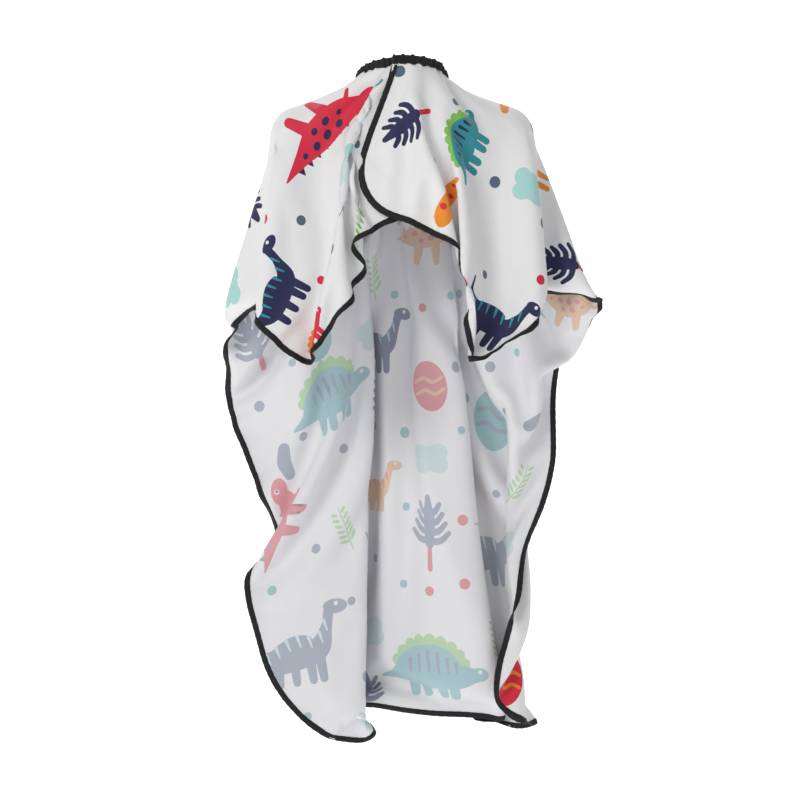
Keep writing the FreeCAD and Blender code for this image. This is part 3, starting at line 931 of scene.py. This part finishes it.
def plain(name, **values):
    """A new material, its node tree and its shader with these values on its sockets."""
    m = bpy.data.materials.new(name)
    m.use_nodes = True
    shader = m.node_tree.nodes["Principled BSDF"]
    for key, value in values.items():
        shader.inputs[key.replace("_", " ")].default_value = value
    return m, m.node_tree, shader


def woven(name, colour, roughness=0.62, threads=1400.0, relief=0.25, sheen=0.25, crease=0.0):
    """A woven cloth: plain colour, crossed threads, slight slubs and, if asked for, soft creases."""
    m, nt, b = plain(name, Base_Color=(*colour, 1), Roughness=roughness, Sheen_Weight=sheen,
                     Sheen_Roughness=0.45, Specular_IOR_Level=0.35)
    uv = nt.nodes.new("ShaderNodeTexCoord")
    warp = node(nt, "ShaderNodeTexWave", Scale=threads, bands_direction="X", Distortion=0.4)
    weft = node(nt, "ShaderNodeTexWave", Scale=threads, bands_direction="Y", Distortion=0.4)
    slub = node(nt, "ShaderNodeTexNoise", Scale=260.0, Detail=3.0)
    soft = node(nt, "ShaderNodeTexNoise", Scale=26.0, Detail=4.0, Roughness=0.55, Distortion=0.8)
    for t in (warp, weft, slub, soft):
        nt.links.new(uv.outputs["UV"], t.inputs["Vector"])
    both = node(nt, "ShaderNodeMath", operation="MULTIPLY")
    nt.links.new(warp.outputs["Fac"], both.inputs[0])
    nt.links.new(weft.outputs["Fac"], both.inputs[1])
    fine = node(nt, "ShaderNodeBump", Strength=relief, Distance=0.0002)
    nt.links.new(both.outputs[0], fine.inputs["Height"])
    wide = node(nt, "ShaderNodeBump", Strength=crease, Distance=0.006)
    nt.links.new(soft.outputs["Fac"], wide.inputs["Height"])
    nt.links.new(wide.outputs["Normal"], fine.inputs["Normal"])
    nt.links.new(fine.outputs["Normal"], b.inputs["Normal"])
    rough = node(nt, "ShaderNodeMapRange")
    rough.inputs["To Min"].default_value = roughness - 0.08
    rough.inputs["To Max"].default_value = roughness + 0.08
    nt.links.new(slub.outputs["Fac"], rough.inputs["Value"])
    nt.links.new(rough.outputs["Result"], b.inputs["Roughness"])
    return m


outer_mats = [woven(f"print_{k}", INKS[k][0], crease=0.18) for k in INK_NAMES]
# the inside white carries painted shade; the inside inks are the print showing through, paler
inner_mats = [woven(f"inside_{k}", INKS[k][1], crease=0.18, roughness=0.7) for k in INK_NAMES]
tape_black = woven("bias_tape", (0.006, 0.006, 0.007), 0.6, 900.0, 0.5, 0.06)
thread_black = woven("thread", (0.02, 0.02, 0.022), 0.45, 2000.0, 0.3, 0.1)
casing_black = woven("casing", (0.006, 0.006, 0.008), 0.62, 900.0, 0.5, 0.1)
elastic_white = woven("elastic", (0.75, 0.75, 0.72), 0.7, 700.0, 0.8, 0.2)
hook_black = woven("hook_pile", (0.02, 0.02, 0.022), 0.5, 500.0, 1.0, 0.1)
loop_black = woven("loop_pile", (0.03, 0.03, 0.032), 0.9, 500.0, 1.0, 0.6)


def new_object(name, verts, faces, mats, face_mat=None, uvs=None, normals=None):
    """A smooth mesh object; uvs and normals are given for each vertex."""
    me = bpy.data.meshes.new(name)
    me.from_pydata(np.asarray(verts).tolist(), [], faces if isinstance(faces, list) else faces.tolist())
    for m in mats:
        me.materials.append(m)
    if face_mat is not None:
        me.polygons.foreach_set("material_index", np.asarray(face_mat, np.int32))
    me.polygons.foreach_set("use_smooth", np.ones(len(me.polygons), bool))
    if uvs is not None:
        layer = me.uv_layers.new(name="UVMap")
        corner = np.empty(len(me.loops), int)
        me.loops.foreach_get("vertex_index", corner)
        layer.data.foreach_set("uv", np.asarray(uvs)[corner].ravel())
    if normals is not None:
        me.normals_split_custom_set_from_vertices(np.asarray(normals).tolist())
    me.validate()
    ob = bpy.data.objects.new(name, me)
    bpy.context.collection.objects.link(ob)
    return ob


# --- Cloth pieces ---
GATHERS = 38            # gathers round the neck
GATHER_H = 0.0014       # how far they stand out
GATHER_REACH = 0.030    # and how far down they reach
MESH = 0.0062           # spacing of the cloth's mesh
FINE_MESH = 0.0030      # and round the neck
FINE_REACH = 0.04       # out to this far from the hole
LINE_CLEAR = 0.0022     # no point is nearer than this to an outline's own points


def gathered(uv, p, n):
    """Small gathers that fade out below the neckband."""
    r = np.hypot(uv[:, 0], uv[:, 1])
    a = np.arctan2(uv[:, 0], -uv[:, 1])
    fade = np.exp(-np.maximum(r - HOLE_R, 0) / GATHER_REACH)
    wave = np.sin(a * GATHERS + 1.3 * np.sin(3 * a)) + 0.5 * np.sin(a * GATHERS * 0.62 + 2)
    return p + n * (GATHER_H * fade * wave)[:, None]


def cloth_half(name, s, cloth, shapes):
    """One half of the cut as a thin closed sheet whose faces follow the print."""
    border = half_outline(s)
    verts, edges = list(map(tuple, border)), [(k, (k + 1) % len(border)) for k in range(len(border))]
    mine = []
    for ink, poly in shapes:
        if (poly[:, 0] * s).max() <= 0:
            continue
        mine.append((ink, poly))
        first = len(verts)
        verts += list(map(tuple, poly))
        edges += [(first + k, first + (k + 1) % len(poly)) for k in range(len(poly))]
    tree = KDTree(len(verts))
    for k, p in enumerate(verts):
        tree.insert((p[0], p[1], 0), k)
    tree.balance()
    fill = []
    for step, lo, hi in ((FINE_MESH, HOLE_R, HOLE_R + FINE_REACH), (MESH, HOLE_R + FINE_REACH, math.inf)):
        for k, v in enumerate(np.arange(-BACK, FRONT, step * 0.866)):    # rows of equal triangles
            for u in np.arange(0.5 * step * (1 + k % 2), HALF_W, step):
                if lo <= math.hypot(u, v) < hi:
                    fill.append((u * s, v))
    fill = np.array(fill)
    fill = fill[within(border, fill)]
    fill = [tuple(q) for q in fill if tree.find((q[0], q[1], 0))[2] > LINE_CLEAR]
    co, _, tri, *_ = delaunay_2d_cdt([Vector(p) for p in verts + fill], edges, [], 0, 1e-6)
    co = np.array([(p.x, p.y) for p in co])
    tri = np.array(tri)
    tri = tri[within(border, co[tri].mean(1))]
    mid = co[tri].mean(1)
    ink = np.zeros(len(tri), int)
    for number, poly in mine:
        lo, hi = poly.min(0), poly.max(0)
        near = np.nonzero(((mid > lo) & (mid < hi)).all(1))[0]
        ink[near[within(poly, mid[near])]] = number
    used = np.unique(tri)
    index = np.full(len(co), -1)
    index[used] = np.arange(len(used))
    co, tri = co[used], index[tri]
    area = np.cross(co[tri[:, 1]] - co[tri[:, 0]], co[tri[:, 2]] - co[tri[:, 0]])
    tri[area < 0] = tri[area < 0][:, ::-1]
    p, n = cloth.at(co, s)
    p = gathered(co, p, n)
    half = n * CLOTH_T / 2
    count = len(co)
    # rim: edges used by one triangle
    pair = np.concatenate([tri[:, [0, 1]], tri[:, [1, 2]], tri[:, [2, 0]]])
    key = np.sort(pair, 1)
    _, first, times = np.unique(key[:, 0] * count + key[:, 1], return_index=True, return_counts=True)
    rim = pair[first[times == 1]]
    faces = tri.tolist() + (tri[:, ::-1] + count).tolist()
    faces += [[b, a, a + count, b + count] for a, b in rim.tolist()]
    mats = np.concatenate([ink, ink + len(INK_NAMES), np.zeros(len(rim), int)])
    return new_object(name, np.vstack([p + half, p - half]), faces, outer_mats + inner_mats,
                      mats, np.vstack([co, co]), np.vstack([n, -n]))


TAPE_W = 0.0075         # how far the bias tape reaches in from the edge
TAPE_BULK = 0.0012      # and how far it stands off the cloth's middle
TAPE_RINGS = 560        # sections along one half
PUCKER = 0.011          # pitch of its small puckers
STITCH = 0.0036         # pitch of its stitches
STITCH_IN = 0.0060      # their row's distance from the edge
STITCH_L = 0.0012       # half of one stitch's length
STITCH_W = 0.0003       # and of its width
STITCH_TOP = 0.00028    # it stands this far off the tape
STITCH_SUNK = 0.0001    # and starts this far inside it


def binding_half(name, s, cloth):
    """Bias tape folded round the edge of one half, with its row of stitches."""
    section = [(TAPE_W, 0.00035), (TAPE_W - 0.0004, TAPE_BULK * 0.9), (TAPE_W * 0.55, TAPE_BULK),
               (0.0008, TAPE_BULK * 0.95), (-0.0008, TAPE_BULK * 0.6), (-0.0008, -TAPE_BULK * 0.6),
               (0.0008, -TAPE_BULK * 0.95), (TAPE_W * 0.55, -TAPE_BULK), (TAPE_W - 0.0004, -TAPE_BULK * 0.9),
               (TAPE_W, -0.00035)]
    ss = np.linspace(-WING + 0.004, EDGE, TAPE_RINGS)
    at = [outline(t, s) for t in ss]
    edge, into = np.array([a[0] for a in at]), np.array([a[1] for a in at])
    # a square corner is turned over a few samples
    for _ in range(2):
        into[1:-1] = into[:-2] + into[1:-1] + into[2:]
        into = unit(into)
    place, normal = cloth.at(edge, s)
    inner, _ = cloth.at(edge + into * STITCH_IN, s)
    width = (inner - place) / STITCH_IN
    verts = []
    for d, h in section:
        if d > 0.001:
            p, n = cloth.at(edge + into * d, s)
        else:
            p, n = place + width * d, normal
        verts.append(p + n * h)
    k = len(section)
    verts = np.stack(verts, 1)
    pucker = 1 + 0.18 * np.sin(ss * 2 * math.pi / PUCKER + 2 * np.sin(ss * 40))
    middle = verts.mean(1, keepdims=True)
    verts = middle + (verts - middle) * pucker[:, None, None] ** 0.25
    faces = tube(TAPE_RINGS, k)
    if s < 0:
        faces = [f[::-1] for f in faces]
    mats = [0] * len(faces)
    points = verts.reshape(-1, 3).tolist()
    uvs = [(t, d + (0.02 if h < 0 else 0)) for t in ss for d, h in section]
    # stitches on both faces
    st = np.arange(-WING + 0.012, EDGE - 0.004, STITCH)
    at = [outline(t, s) for t in st]
    e, w = np.array([a[0] for a in at]), np.array([a[1] for a in at])
    c, n = cloth.at(e + w * STITCH_IN, s)
    c2, _ = cloth.at(e + w * (STITCH_IN + 0.001), s)
    cross = unit(c2 - c)
    run = np.cross(n, cross)
    for sign in (1, -1):
        for q, m, x, y in zip(c, n * sign, run, cross):
            first = len(points)
            low = q + m * (TAPE_BULK - STITCH_SUNK)
            points += [(low - x * STITCH_L).tolist(), (low + y * STITCH_W).tolist(),
                       (low + x * STITCH_L).tolist(), (low - y * STITCH_W).tolist(),
                       (q + m * (TAPE_BULK + STITCH_TOP)).tolist()]
            for a, b in ((0, 1), (1, 2), (2, 3), (3, 0)):
                faces.append((first + a, first + b, first + 4))
                mats.append(1)
            uvs += [(q[0], q[2])] * 5
    return new_object(name, points, faces, [tape_black, thread_black], mats, uvs)


BAND_RINGS = 900        # sections along one half
BAND_AROUND = 20        # points in each
BAND_T = 0.0029         # half of the neckband's thickness
BAND_H = 0.0068         # and of its height
RUFFLE = 0.0068         # pitch of its ruffles
RUFFLE_H = 0.0009       # how far they stand out


def neckband_half(name, s):
    """The gathered fabric tube round the neck; the right half's end passes over the left half's."""
    verts, uvs = [], []
    for i in range(BAND_RINGS):
        t = i / (BAND_RINGS - 1)
        deg = -LAP_DEG - 1 + (180 + LAP_DEG + 1) * t
        mid, angle = NECK_R + LAP_OUT * let_out(deg, s), deg * s
        arc = math.radians(deg) * NECK_R
        phase = 2 * math.pi * arc / RUFFLE + 1.6 * math.sin(arc * 90) + (0 if s > 0 else 1.1)
        shrink = min(1.0, 0.35 + t * 60)     # its free end is pressed together
        for j in range(BAND_AROUND):
            a = 2 * math.pi * j / BAND_AROUND
            ca, sa = math.cos(a), math.sin(a)
            cx = math.copysign(abs(ca) ** 0.7, ca) * BAND_T
            cz = math.copysign(abs(sa) ** 0.7, sa) * BAND_H
            frill = abs(sa) ** 2             # the ruffles are widest at the upper and lower rim
            ripple = RUFFLE_H * math.sin(phase + 0.5 * sa) * (0.45 + 0.75 * frill)
            ripple += 0.0004 * math.sin(phase * 2.1 + 2 * sa)
            rise = RUFFLE_H * math.sin(phase * 0.5 + 1) * frill * math.copysign(1, sa)
            verts.append(ring_point(angle, mid + (cx + ripple) * shrink, (cz + rise) * shrink))
            uvs.append((arc, a * 0.006))
    faces = tube(BAND_RINGS, BAND_AROUND)
    if s > 0:
        faces = [f[::-1] for f in faces]
    return new_object(name, verts, faces, [casing_black], None, uvs)


pts, side, faces, tris = flat_cloth()
x = drape(pts, side, tris)
cloth = Cloth(pts, side, faces, x)
shapes = printed_shapes()
right = cloth_half("cape_cloth_right", 1, cloth, shapes)
left = cloth_half("cape_cloth_left", -1, cloth, shapes)
tape_right = binding_half("edge_binding_right", 1, cloth)
tape_left = binding_half("edge_binding_left", -1, cloth)
band_right = neckband_half("neckband_right", 1)
band_left = neckband_half("neckband_left", -1)

# --- Each cloth piece's transform is applied to its mesh ---
# a point of each hinge's fold in the cloth, and the way from the still cloth to the wing
FOLD = {"right_wing": (P(49, -48, 8), np.array([-0.6, -0.8, 0.045])),
        "left_wing": (P(-49, -48, 8), np.array([0.6, -0.8, 0.006]))}
for obs, wing in (((right, tape_right, band_right), "right_wing"),
                  ((left, tape_left, band_left), "left_wing")):
    top, way = FOLD[wing]
    for ob in obs:
        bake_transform(ob)

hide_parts("cloth_front", "cloth_shoulder_right", "cloth_wing_right")
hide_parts("cloth_shoulder_left", "cloth_wing_left")
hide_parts("binding_hem", "binding_side_right", "binding_shoulder_right", "binding_wing_right")
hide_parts("binding_side_left", "binding_shoulder_left", "binding_wing_left")
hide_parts("neckband_casing_front", "neckband_casing_right_end")
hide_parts("neckband_casing_left_end")

for name, mat in (("neckband_elastic_front", elastic_white), ("neckband_elastic_left_end", elastic_white),
                  ("neckband_elastic_right_end", elastic_white), ("closure_hook_tape", hook_black),
                  ("closure_loop_tape", loop_black)):
    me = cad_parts[name].data
    me.materials.clear()
    me.materials.append(mat)

border = half_outline(1)

# --- Studio ---
FLOOR_Z = -1.15
CURVE_Y, CURVE_R = 1.4, 1.6  # where the floor starts to curve up, and its radius


def backdrop():
    """A pale floor that curves up into a wall."""
    line = [(-6.0, FLOOR_Z), (CURVE_Y, FLOOR_Z)]
    line += [(CURVE_Y + CURVE_R * math.sin(a), FLOOR_Z + CURVE_R - CURVE_R * math.cos(a))
             for a in np.linspace(0.1, math.pi / 2, 12)]
    line.append((CURVE_Y + CURVE_R, 6.0))
    verts = [(x, y, z) for y, z in line for x in (-7.0, 7.0)]
    quads = [(2 * k, 2 * k + 1, 2 * k + 3, 2 * k + 2) for k in range(len(line) - 1)]
    m, _, _ = plain("studio", Base_Color=(0.95, 0.95, 0.95, 1), Roughness=0.9,
                    Emission_Color=(1, 1, 1, 1), Emission_Strength=0.38)
    return new_object("studio_floor", verts, quads, [m])


backdrop()


def area_light(name, place, aim, size, power, colour=(1, 1, 1)):
    """A soft light, its power in watts."""
    data = bpy.data.lights.new(name, "AREA")
    data.shape = "RECTANGLE"
    data.size, data.size_y = size
    data.energy = power
    data.color = colour
    ob = bpy.data.objects.new(name, data)
    ob.location = place
    ob.rotation_euler = (Vector(aim) - Vector(place)).to_track_quat("-Z", "Y").to_euler()
    bpy.context.collection.objects.link(ob)


area_light("key", (-1.7, -2.3, 1.1), (0, 0, -0.4), (1.2, 1.2), 40, (1, 0.985, 0.96))
area_light("fill", (2.0, -2.0, 0.2), (0, 0, -0.5), (1.8, 1.8), 4, (0.97, 0.985, 1))
area_light("top", (0.2, 0.6, 1.9), (0, 0.3, -0.4), (2.0, 1.6), 5)
area_light("wall_wash", (0, 0.9, 1.6), (0, 3.0, -0.2), (3.0, 1.0), 42)
bpy.context.scene.view_settings.view_transform = "Standard"     # keeps the inks as bright as they are
world = bpy.data.worlds.new("studio")
bpy.context.scene.world = world
world.use_nodes = True
world.node_tree.nodes["Background"].inputs["Color"].default_value = (1, 1, 1, 1)
world.node_tree.nodes["Background"].inputs["Strength"].default_value = 0.27

cam_data = bpy.data.cameras.new("camera")
cam_data.lens = 96.4
cam_data.sensor_width = 36
cam = bpy.data.objects.new("camera", cam_data)
cam.location = (EYE_X * MM, -EYE_BACK * MM, EYE_Z * MM)
cam.rotation_euler = (math.pi / 2, 0, 0)
bpy.context.collection.objects.link(cam)
bpy.context.scene.camera = cam
